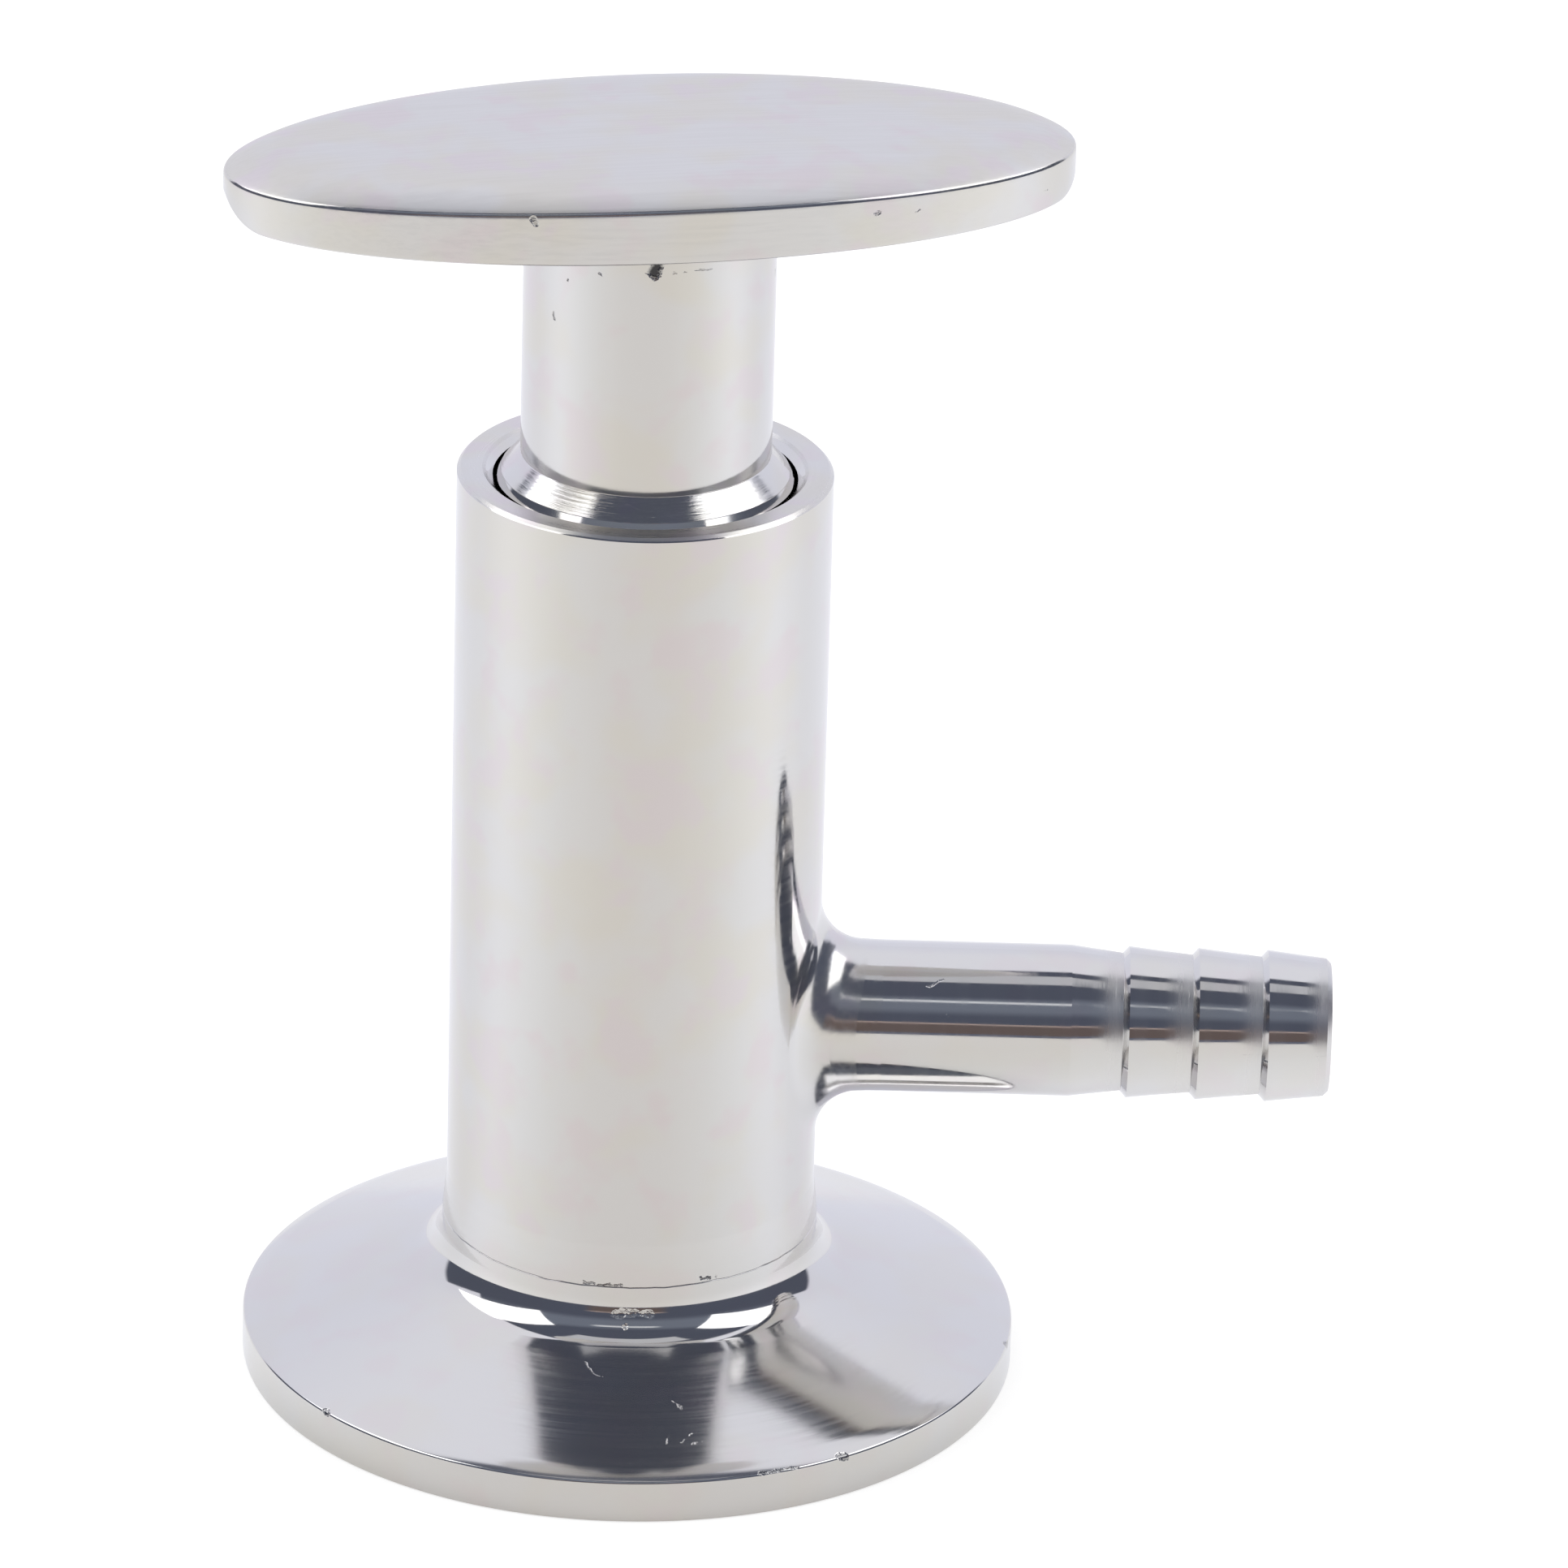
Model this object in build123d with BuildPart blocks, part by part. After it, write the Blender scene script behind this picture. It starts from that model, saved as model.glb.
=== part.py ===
from build123d import *

import os
from math import pi, radians, sqrt, tan

# Sanitary sampling valve: a bored barrel on a clamp flange, a hose spout on its side,
# and a screw-down stem with a soft plug that shuts on a conical seat in the flange.
# Millimetres. The origin is the centre of the flange's sealing face, +Z runs up the
# stem's axis and +X along the spout. The valve is drawn shut.

# Clamp flange: a 1.5 inch sanitary ferrule end
flange_diameter = 50.5
flange_edge = 2.7            # thickness at the rim
flange_slope = 20.0          # degrees, the cone that the clamp bears on
flange_edge_chamfer = 0.25
gasket_groove_diameter = 43.6
gasket_groove_depth = 1.6
gasket_groove_round = 2.3    # radius of the groove's section
inlet_diameter = 10.5
inlet_length = 3.5
seat_angle = 45.0            # degrees from the axis
neck_step = 0.25             # the neck stands this proud of the barrel
neck_height = 2.77           # above the crossing of neck and cone
neck_fillet = 2.8

# Barrel
chamber_diameter = 15.0
barrel_wall = 4.5
barrel_length = 52.05
barrel_rim_chamfer = 0.25
mouth_chamfer = 0.55         # radial size of the countersink at the mouth
mouth_chamfer_depth = 0.65
thread_wall = 2.28           # metal left outside the thread
thread_depth = 1.05
thread_pitch = 2.0
thread_clearance = 0.22      # radial, crest of one thread to root of the other
open_turns = 3

# Spout
outlet_rise = 14.19          # spout axis above the flange's neck
outlet_blend = 3.1           # radius of the ground weld round the spout's foot
outlet_collar = 1.0          # length past the blend, up to the tube's joint
collar_draft = 1.5           # degrees, the ground weld runs out on to the tube
tube_diameter = 9.85
port_diameter = 6.0
tube_length = 12.2           # plain tube, from the joint to the hose tail
tail_taper = 3.35
barb_count = 3
barb_pitch = 4.5
barb_height = 0.45
barb_rise = 0.4              # axial length of a barb's steep side
spout_end_chamfer = 0.3

# Stem
lip_chamfer = 0.3            # radial size of the bevel round the top of the thread
lip_chamfer_height = 0.5
lip_height = 0.55            # plain band under the bevel
lip_depth = 0.55             # the bevel's lower edge, below the barrel's rim
cone_step = 1.2              # radial size of the cone under the shank
cone_height = 1.3
shank_length = 17.2          # from the cone to the handle
core_lead = 0.8              # the thread's lower end, above the bore's shoulder
core_chamfer = 0.6
waist_step = 0.5             # relief between the thread and the gland
gland_margin = 4.0           # from the top of the port to the foot of the gland
gland_length = 10.0
gland_taper = 2.0
stem_clearance = 0.05        # radial, gland in the chamber
nose_diameter = 9.2
open_run = 0.6               # bore left above the gland with the valve open

# O-rings in the gland
ring_cord = 2.0
ring_squeeze = 0.2           # share of the cord's height
ring_clearance = 0.03
ring_corner_share = 0.3      # corner bevel, as a share of the pressed height
ring_groove_width = 3.0
ring_end_land = 1.2          # from each end of the gland to its groove

# Soft plug, snapped over a mushroom head on the stem's nose
plug_gap = 0.6               # radial, for the flow round the open plug
plug_height = 8.4
plug_tip_rise = 0.2          # the plug's flat tip, above the inlet's wall
plug_body_height = 4.2
plug_edge_chamfer = 0.3
seat_clearance = 0.02        # square to the seat
snap_clearance = 0.04
snap_neck_diameter = 4.4
snap_neck_length = 2.0
snap_head_diameter = 6.8
snap_head_height = 2.6
snap_head_chamfer = 0.9

# Handle and welds
handle_length = 54.2
handle_width = 24.4
handle_thickness = 3.5       # at the middle
handle_crown = 0.8           # drop of the top face at the tips
handle_tip_round = 1.8       # underside of the two tips
handle_edge_round = 0.25     # rim of the top face
handle_turn = 11.3           # degrees from the spout, with the valve shut
handle_weld_leg = 0.8        # fills the chamfer round the top of the shank
tip_margin = 0.05            # the crown's section runs this far past the tips
flange_weld_leg = 0.22
flange_weld_height = 0.6
weld_edge = 0.04             # thickness that a weld's thin edge keeps

# Radii that follow from the sizes above
flange_radius = flange_diameter / 2
inlet_radius = inlet_diameter / 2
chamber_radius = chamber_diameter / 2
barrel_radius = chamber_radius + barrel_wall
neck_radius = barrel_radius + neck_step
thread_bore_radius = barrel_radius - thread_wall
thread_crest_radius = thread_bore_radius - thread_clearance
thread_core_radius = thread_crest_radius - thread_depth
bevel_radius = thread_crest_radius - lip_chamfer
shank_radius = bevel_radius - cone_step
gland_radius = chamber_radius - stem_clearance
waist_radius = gland_radius - waist_step
nose_radius = nose_diameter / 2
tube_radius = tube_diameter / 2
port_radius = port_diameter / 2
barb_root_radius = tube_radius - barb_height
ring_height = ring_cord * (1 - ring_squeeze)
ring_groove_radius = chamber_radius - ring_height
plug_radius = chamber_radius - plug_gap
snap_neck_radius = snap_neck_diameter / 2
snap_head_radius = snap_head_diameter / 2

# Levels on the Z axis, from the flange up
neck_foot = flange_edge + (flange_radius - neck_radius) * tan(radians(flange_slope))
neck_top = neck_foot + neck_height
seat_top = inlet_length + (chamber_radius - inlet_radius) / tan(radians(seat_angle))
outlet_level = neck_top + outlet_rise
rim_level = neck_top + barrel_length
lift = open_turns * thread_pitch
plug_tip_level = inlet_length + plug_tip_rise
plug_top_level = plug_tip_level + plug_height
gland_foot = outlet_level + port_radius + gland_margin
gland_top = gland_foot + gland_length
shoulder_level = gland_top + lift + open_run
core_foot = shoulder_level + core_lead
lip_level = rim_level - lip_depth
bevel_level = lip_level + lip_chamfer_height
cone_top_level = bevel_level + cone_height
handle_level = cone_top_level + shank_length

# Places along the spout, from the stem's axis
joint_place = barrel_radius + outlet_blend + outlet_collar
taper_place = joint_place + tube_length
barb_place = taper_place + tail_taper
spout_end = barb_place + barb_count * barb_pitch

stem_section = Plane.XZ
spout_section = Plane(origin=(0, 0, outlet_level), x_dir=(1, 0, 0), z_dir=(0, -1, 0))
spout_axis = Axis((0, 0, outlet_level), (1, 0, 0))
outlet_plane = Plane(origin=(0, 0, outlet_level), x_dir=(0, 1, 0), z_dir=(1, 0, 0))

os.makedirs("parts", exist_ok=True)


def write_part(builder, name):
    """Label a finished piece and write it as parts/NAME.step."""
    builder.part.label = name
    export_step(builder.part, f"parts/{name}.step")


# Clamp flange: ferrule disc with its gasket groove, neck, inlet and conical seat
with BuildPart() as clamp_flange:
    with BuildSketch(stem_section) as flange_section:
        with BuildLine():
            Polyline(
                (inlet_radius, 0),
                (flange_radius, 0),
                (flange_radius, flange_edge),
                (neck_radius, neck_foot),
                (neck_radius, neck_top),
                (chamber_radius, neck_top),
                (chamber_radius, seat_top),
                (inlet_radius, inlet_length),
                close=True,
            )
        make_face()
        neck_corner = flange_section.vertices().sort_by_distance((neck_radius, neck_foot))[0]
        fillet(neck_corner, neck_fillet)
        chamfer(flange_section.vertices().group_by(Axis.X)[-1], flange_edge_chamfer)
        with Locations((gasket_groove_diameter / 2, gasket_groove_depth - gasket_groove_round)):
            Circle(gasket_groove_round, mode=Mode.SUBTRACT)
    revolve(axis=Axis.Z)
write_part(clamp_flange, "clamp_flange")

# Barrel: chamber bore, thread bore with its countersunk mouth, and the side outlet,
# whose collar runs into the barrel in a ground blend
with BuildPart() as valve_barrel:
    with BuildSketch(Plane.XY.offset(neck_top)):
        Circle(barrel_radius)
    extrude(amount=barrel_length)
    chamfer(valve_barrel.edges().filter_by(GeomType.CIRCLE).sort_by(Axis.Z)[-1], barrel_rim_chamfer)
    with BuildSketch(outlet_plane.offset(joint_place)):
        Circle(tube_radius)
    extrude(amount=-joint_place, taper=-collar_draft)
    collar_foot = valve_barrel.edges().filter_by(GeomType.BSPLINE)
    fillet(collar_foot, outlet_blend)
    with BuildSketch(Plane.XY.offset(neck_top)):
        Circle(chamber_radius)
    extrude(amount=barrel_length, mode=Mode.SUBTRACT)
    with BuildSketch(Plane.XY.offset(shoulder_level)):
        Circle(thread_bore_radius)
    extrude(amount=rim_level - shoulder_level, mode=Mode.SUBTRACT)
    mouth_edge = valve_barrel.edges().filter_by(GeomType.CIRCLE).group_by(Axis.Z)[-1].sort_by(SortBy.RADIUS)[0]
    chamfer(mouth_edge, mouth_chamfer_depth, mouth_chamfer)
    with BuildSketch(outlet_plane):
        Circle(port_radius)
    extrude(amount=joint_place, mode=Mode.SUBTRACT)
write_part(valve_barrel, "valve_barrel")

# Weld between the flange's neck and the barrel, ground to a hollow flare
with BuildPart() as flange_weld:
    with BuildSketch(stem_section):
        with BuildLine():
            toe = (barrel_radius + flange_weld_leg, neck_top)
            thin_edge = (barrel_radius + weld_edge, neck_top + flange_weld_height)
            Polyline(
                toe,
                (barrel_radius, neck_top),
                (barrel_radius, neck_top + flange_weld_height),
                thin_edge,
            )
            TangentArc(thin_edge, toe, tangent=(0, -1))
        make_face()
    revolve(axis=Axis.Z)
write_part(flange_weld, "flange_weld")

# Hose spout: tube with a barbed tail, each barb steep towards the barrel
with BuildPart() as hose_spout:
    with BuildSketch(spout_section):
        with BuildLine():
            barbs = []
            for index in range(barb_count):
                start = barb_place + index * barb_pitch
                barbs.append((start, barb_root_radius))
                barbs.append((start + barb_rise, tube_radius))
            Polyline(
                (joint_place, port_radius),
                (joint_place, tube_radius),
                (taper_place, tube_radius),
                *barbs,
                (spout_end - spout_end_chamfer, barb_root_radius),
                (spout_end, barb_root_radius - spout_end_chamfer),
                (spout_end, port_radius),
                close=True,
            )
        make_face()
    revolve(axis=spout_axis)
write_part(hose_spout, "hose_spout")

# Stem: shank, cone, thread core, gland with two ring grooves, nose and mushroom head
head_top = plug_top_level - snap_neck_length
head_foot = head_top - snap_head_height
with BuildPart() as stem:
    with BuildSketch(stem_section):
        with BuildLine():
            Polyline(
                (0, handle_level),
                (shank_radius - handle_weld_leg, handle_level),
                (shank_radius, handle_level - handle_weld_leg),
                (shank_radius, cone_top_level),
                (bevel_radius, bevel_level),
                (thread_crest_radius, lip_level),
                (thread_crest_radius, lip_level - lip_height),
                (thread_core_radius, lip_level - lip_height - thread_depth),
                (thread_core_radius, core_foot + core_chamfer),
                (thread_core_radius - core_chamfer, core_foot),
                (waist_radius, core_foot),
                (waist_radius, gland_top),
                (gland_radius, gland_top),
                (gland_radius, gland_foot),
                (nose_radius, gland_foot - gland_taper),
                (nose_radius, plug_top_level + snap_clearance),
                (snap_neck_radius, plug_top_level + snap_clearance),
                (snap_neck_radius, head_top),
                (snap_head_radius, head_top),
                (snap_head_radius, head_foot + snap_head_chamfer),
                (snap_head_radius - snap_head_chamfer, head_foot),
                (0, head_foot),
                close=True,
            )
        make_face()
    revolve(axis=Axis.Z)
    ring_levels = [
        gland_foot + ring_end_land + ring_groove_width / 2,
        gland_top - ring_end_land - ring_groove_width / 2,
    ]
    for level in ring_levels:
        with BuildSketch(stem_section):
            with Locations((ring_groove_radius, level)):
                Rectangle(ring_height, ring_groove_width, align=(Align.MIN, Align.CENTER))
        revolve(axis=Axis.Z, mode=Mode.SUBTRACT)
write_part(stem, "stem")


def squeezed_ring(level):
    """Make an O-ring as it sits in its groove, pressed flat inside and out."""
    height = ring_height - 2 * ring_clearance
    corner = height * ring_corner_share
    width = (pi * ring_cord**2 / 4 + 2 * corner**2) / height
    with BuildPart() as ring:
        with BuildSketch(stem_section) as ring_section:
            with Locations((chamber_radius - ring_height / 2, level)):
                Rectangle(height, width)
            chamfer(ring_section.vertices(), corner)
        revolve(axis=Axis.Z)
    return ring


write_part(squeezed_ring(ring_levels[0]), "lower_o_ring")
write_part(squeezed_ring(ring_levels[1]), "upper_o_ring")

# Seat plug: its cone lies parallel to the seat, and its recess holds the mushroom head
seat_offset = seat_clearance * sqrt(2)
plug_tip_radius = inlet_radius + (plug_tip_level - inlet_length) * tan(radians(seat_angle)) - seat_offset
plug_cone_top = plug_tip_level + (plug_radius - plug_tip_radius) / tan(radians(seat_angle))
with BuildPart() as seat_plug:
    with BuildSketch(stem_section):
        with BuildLine():
            Polyline(
                (0, plug_tip_level),
                (plug_tip_radius, plug_tip_level),
                (plug_radius, plug_cone_top),
                (plug_radius, plug_cone_top + plug_body_height),
                (nose_radius, plug_top_level),
                (0, plug_top_level),
                close=True,
            )
        make_face()
    revolve(axis=Axis.Z)
    chamfer(seat_plug.edges().filter_by(GeomType.CIRCLE).sort_by(Axis.Z)[0], plug_edge_chamfer)
    with BuildSketch(stem_section):
        with BuildLine():
            Polyline(
                (0, plug_top_level),
                (snap_neck_radius + snap_clearance, plug_top_level),
                (snap_neck_radius + snap_clearance, head_top + snap_clearance),
                (snap_head_radius + snap_clearance, head_top + snap_clearance),
                (snap_head_radius + snap_clearance, head_foot + snap_head_chamfer - snap_clearance),
                (snap_head_radius - snap_head_chamfer + snap_clearance, head_foot - snap_clearance),
                (0, head_foot - snap_clearance),
                close=True,
            )
        make_face()
    revolve(axis=Axis.Z, mode=Mode.SUBTRACT)
write_part(seat_plug, "seat_plug")

# Handle: an elliptical plate, flat below, crowned along its length, with rounded tips
handle_plane = Plane((0, 0, handle_level)).rotated((0, 0, handle_turn))
handle_side = Plane(origin=handle_plane.origin, x_dir=handle_plane.x_dir, z_dir=-handle_plane.y_dir)
crown_reach = handle_length / 2 + tip_margin
crown_foot = handle_thickness - handle_crown
with BuildPart() as handle_plate:
    with BuildSketch(handle_plane):
        Ellipse(handle_length / 2, handle_width / 2)
    extrude(amount=handle_thickness)
    with BuildSketch(handle_side) as crown_section:
        with BuildLine():
            Polyline((-crown_reach, crown_foot), (-crown_reach, 0), (crown_reach, 0), (crown_reach, crown_foot))
            ThreePointArc((crown_reach, crown_foot), (0, handle_thickness), (-crown_reach, crown_foot))
        make_face()
        fillet(crown_section.vertices().group_by(Axis.Y)[0], handle_tip_round)
    extrude(amount=handle_width, both=True, mode=Mode.INTERSECT)
    fillet(handle_plate.faces().sort_by(Axis.Z)[-1].edges(), handle_edge_round)
write_part(handle_plate, "handle_plate")

# Weld ring that fills the chamfer between the shank and the handle, ground flush
with BuildPart() as handle_weld:
    with BuildSketch(stem_section):
        with BuildLine():
            Polyline(
                (shank_radius - handle_weld_leg, handle_level),
                (shank_radius, handle_level),
                (shank_radius, handle_level - handle_weld_leg),
                close=True,
            )
        make_face()
    revolve(axis=Axis.Z)
write_part(handle_weld, "handle_weld")
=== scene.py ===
"""Looks and studio for a sanitary sampling valve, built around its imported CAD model."""

import logging
import math
from dataclasses import dataclass, field, replace
from enum import Enum
from typing import Any, Optional

import bmesh
import bpy
from mathutils import Matrix, Vector, noise


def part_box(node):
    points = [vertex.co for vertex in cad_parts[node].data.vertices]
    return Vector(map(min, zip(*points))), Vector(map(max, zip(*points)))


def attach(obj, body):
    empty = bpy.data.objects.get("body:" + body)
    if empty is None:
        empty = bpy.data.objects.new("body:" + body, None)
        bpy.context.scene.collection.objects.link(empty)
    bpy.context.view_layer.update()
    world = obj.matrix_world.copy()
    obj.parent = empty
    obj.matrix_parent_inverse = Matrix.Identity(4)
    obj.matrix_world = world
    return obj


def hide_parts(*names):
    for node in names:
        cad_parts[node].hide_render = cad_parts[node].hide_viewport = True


LOG = logging.getLogger("sampling_valve")

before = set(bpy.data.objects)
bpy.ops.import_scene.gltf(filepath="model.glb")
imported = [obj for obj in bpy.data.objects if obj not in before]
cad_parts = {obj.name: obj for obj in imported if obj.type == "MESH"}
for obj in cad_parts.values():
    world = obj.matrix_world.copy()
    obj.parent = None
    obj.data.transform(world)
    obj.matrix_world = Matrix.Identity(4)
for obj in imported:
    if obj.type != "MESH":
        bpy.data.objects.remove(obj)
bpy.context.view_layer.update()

# Lengths in metres.
MILLIMETRE = 0.001
SPOUT_LEVEL = sum(corner.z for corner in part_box("hose_spout")) / 2

# Lengths in millimetres: points nearer than this are one, and the hose tail's cuts end at these places.
SAME_POINT = 1e-4
BARB_PLACE = 31.65
BARB_PITCH = 4.5
BARB_CUTS = 4
BARB_LAND = 0.4

# Angles: edges sharper than the first stay sharp, and the second is the handle's turn from the spout.
SHARP_ANGLE = math.radians(24)
HANDLE_TURN = math.radians(11.3)

Colour = tuple[float, float, float]
Point = tuple[float, float, float]
Socket = bpy.types.NodeSocket


class Lay(Enum):
    """The way a finish's fine lines run over a piece."""

    ROUND_STEM = "round_stem"
    ROUND_SPOUT = "round_spout"
    ALONG_HANDLE = "along_handle"


class Nodes:
    """A thin helper that adds nodes to one tree and wires them."""

    def __init__(self, tree: bpy.types.NodeTree) -> None:
        """Keep the tree and clear it.

        Args:
            tree: the node tree to fill.
        """
        self.tree = tree
        tree.nodes.clear()

    def add(self, kind: str, settings: Optional[dict[str, Any]] = None, **inputs: Any) -> bpy.types.Node:
        """Add a node, set its properties and fill or link its sockets.

        Args:
            kind: the node's class, without the ShaderNode prefix.
            settings: properties of the node itself.
            **inputs: socket values, or sockets to link, by socket name with _ for a space, or by
                socket number as i0, i1 and so on.

        Returns:
            The new node.
        """
        node = self.tree.nodes.new("ShaderNode" + kind)
        for name, value in (settings or {}).items():
            setattr(node, name, value)
        for name, value in inputs.items():
            key = int(name[1:]) if name[0] == "i" and name[1:].isdigit() else name.replace("_", " ")
            self.put(node.inputs[key], value)
        return node

    def put(self, socket: Socket, value: Any) -> None:
        """Link a socket to another, or set its value.

        Args:
            socket: the input socket.
            value: an output socket to link, or the value to set; a colour gets an alpha of 1.
        """
        if isinstance(value, Socket):
            self.tree.links.new(value, socket)
        elif isinstance(value, (tuple, list)) and len(value) == 3 and socket.type == "RGBA":
            socket.default_value = (*value, 1.0)
        else:
            socket.default_value = value

    def maths(self, operation: str, *values: Any, clamp: bool = False) -> Socket:
        """Add a Math node.

        Args:
            operation: the node's operation.
            *values: its inputs, in order.
            clamp: keep the result between 0 and 1.

        Returns:
            The result.
        """
        node = self.add("Math", {"operation": operation, "use_clamp": clamp})
        for index, value in enumerate(values):
            self.put(node.inputs[index], value)
        return node.outputs[0]

    def remap(self, value: Any, low: float, high: float, to_low: float = 0.0, to_high: float = 1.0,
              smooth: bool = True) -> Socket:
        """Map a range of a value to another, with eased ends.

        Args:
            value: the socket to map.
            low: where the source range starts.
            high: where the source range ends.
            to_low: the result at low.
            to_high: the result at high.
            smooth: ease the ends of the range.

        Returns:
            The mapped socket.
        """
        kind = "SMOOTHSTEP" if smooth else "LINEAR"
        node = self.add("MapRange", {"interpolation_type": kind, "clamp": True}, Value=value,
                        From_Min=low, From_Max=high, To_Min=to_low, To_Max=to_high)
        return node.outputs["Result"]

    def noise(self, place: Any, scale: float, detail: float = 2.0, roughness: float = 0.5) -> Socket:
        """Add a noise texture.

        Args:
            place: the point it is read at.
            scale: features for each unit of length.
            detail: octaves.
            roughness: the share that each octave keeps of the one before.

        Returns:
            The noise, from 0 to 1.
        """
        node = self.add("TexNoise", None, Vector=place, Scale=scale, Detail=detail, Roughness=roughness)
        return node.outputs["Fac"]

    def mix(self, factor: Any, first: Any, second: Any) -> Socket:
        """Mix two colours.

        Args:
            factor: 0 for the first colour, 1 for the second.
            first: the first colour.
            second: the second colour.

        Returns:
            The mixed colour.
        """
        node = self.add("Mix", {"data_type": "RGBA"})
        for index, value in ((0, factor), (6, first), (7, second)):
            self.put(node.inputs[index], value)
        return node.outputs[2]


class Reach(Enum):
    """The measure that bounds a zone of a turned piece: its radius, or its place along the axis."""

    RADIUS = 0
    AXIAL = 2


@dataclass(frozen=True)
class Zone:
    """A band of a turned piece with its own gloss and tool lines, which fades in and ends at once.

    Its limits are in millimetres and its line height is in metres.
    """

    reach: Reach
    low: float
    high: float
    roughness: float
    line_height: float
    fade: float = 0.1
    end: float = 0.05


@dataclass(frozen=True)
class Mark:
    """A nick or scratch between two points of a piece: millimetres, but its depth in metres.

    Its stain is the share of grime in it.
    """

    start: Point
    end: Point
    width: float
    depth: float = 2e-5
    stain: float = 0.0


@dataclass(frozen=True)
class SteelFinish:
    """Stainless steel: a tint, a gloss and the fine marks left by turning and polishing.

    Scales are features for each millimetre, and heights and depths are in metres.
    """

    name: str
    lay: Lay
    roughness: float
    streak: float = 0.04
    line_height: float = 2e-7
    line_scale: float = 9.0
    wave_height: float = 2e-6
    wave_scale: float = 0.22
    pit_depth: float = 2e-6
    blotch: float = 0.5
    tint: Colour = (0.67, 0.662, 0.657)
    zones: tuple[Zone, ...] = ()
    blemishes: tuple[Mark, ...] = ()
    grime: Colour = (0.03, 0.03, 0.035)
    warm_scale: float = 0.16
    warm_range: tuple[float, float] = (0.42, 0.62)
    warm_shift: Colour = (1.0, 0.982, 0.93)
    rosy_scale: float = 0.31
    rosy_range: tuple[float, float] = (0.5, 0.68)
    rosy_shift: Colour = (1.005, 0.95, 0.97)
    along_share: float = 0.03
    round_share: float = 0.35
    streak_share: float = 0.4
    streak_range: tuple[float, float] = (0.3, 0.7)
    pit_scale: float = 0.55
    pit_radius: float = 0.07
    pit_choice: tuple[float, float] = (0.86, 0.9)
    shake_scale: float = 2.2
    shake: float = 0.25
    mark_core: float = 0.3

    def millimetres(self, nodes: Nodes) -> Socket:
        """Read the point in the piece's own frame.

        Args:
            nodes: the tree being built.

        Returns:
            The point in millimetres.
        """
        place = nodes.add("TexCoord").outputs["Object"]
        scale = (1 / MILLIMETRE,) * 3
        return nodes.add("VectorMath", {"operation": "MULTIPLY"}, i0=place, i1=scale).outputs[0]

    def lay_vector(self, nodes: Nodes, place: Socket) -> Socket:
        """Return a point that changes fast across the finish's lines and slowly along them.

        Args:
            nodes: the tree being built.
            place: the point in millimetres.

        Returns:
            The vector for line and streak textures.
        """
        if self.lay is Lay.ALONG_HANDLE:
            turned = nodes.add("Mapping", None, Vector=place, Rotation=(0, 0, -HANDLE_TURN)).outputs[0]
            shares = (self.along_share, 1, 1)
            return nodes.add("VectorMath", {"operation": "MULTIPLY"}, i0=turned, i1=shares).outputs[0]
        part = nodes.add("SeparateXYZ", None, Vector=place).outputs
        if self.lay is Lay.ROUND_STEM:
            side, front, height = part[0], part[1], part[2]
        else:
            side, front, height = part[1], nodes.maths("SUBTRACT", part[2], SPOUT_LEVEL / MILLIMETRE), part[0]
        square = nodes.maths("MULTIPLY_ADD", side, side, nodes.maths("MULTIPLY", front, front))
        radius = nodes.maths("SQRT", square)
        angle = nodes.maths("MULTIPLY", nodes.maths("ARCTAN2", front, side), self.round_share)
        return nodes.add("CombineXYZ", None, X=radius, Y=angle, Z=height).outputs[0]

    def zone_masks(self, nodes: Nodes, lay: Socket) -> list[Socket]:
        """Make a mask for each zone.

        Args:
            nodes: the tree being built.
            lay: the point that follows the lines.

        Returns:
            The masks, 1 inside their zones.
        """
        measures = nodes.add("SeparateXYZ", None, Vector=lay).outputs
        masks = []
        for zone in self.zones:
            measure = measures[zone.reach.value]
            rise = nodes.remap(measure, zone.low - zone.fade, zone.low)
            fall = nodes.remap(measure, zone.high, zone.high + zone.end, 1.0, 0.0)
            masks.append(nodes.maths("MULTIPLY", rise, fall))
        return masks

    def closeness(self, nodes: Nodes, place: Socket, mark: Mark) -> Socket:
        """Return 1 on a mark's line, falling to 0 at its edge.

        Args:
            nodes: the tree being built.
            place: the point in millimetres, a little shaken so that the mark is uneven.
            mark: the mark.

        Returns:
            The mask.
        """
        start, end = Vector(mark.start), Vector(mark.end)
        run = end - start
        gone = nodes.add("VectorMath", {"operation": "SUBTRACT"}, i0=place, i1=tuple(start)).outputs[0]
        if run.length > 0.0:
            step = tuple(run / run.length_squared)
            share = nodes.add("VectorMath", {"operation": "DOT_PRODUCT"}, i0=gone, i1=step).outputs["Value"]
            share = nodes.maths("MULTIPLY", share, 1.0, clamp=True)
            walked = nodes.add("VectorMath", {"operation": "SCALE"}, i0=tuple(run), Scale=share).outputs[0]
            gone = nodes.add("VectorMath", {"operation": "SUBTRACT"}, i0=gone, i1=walked).outputs[0]
        distance = nodes.add("VectorMath", {"operation": "LENGTH"}, i0=gone).outputs["Value"]
        return nodes.remap(distance, mark.width * self.mark_core, mark.width, 1.0, 0.0)

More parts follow.
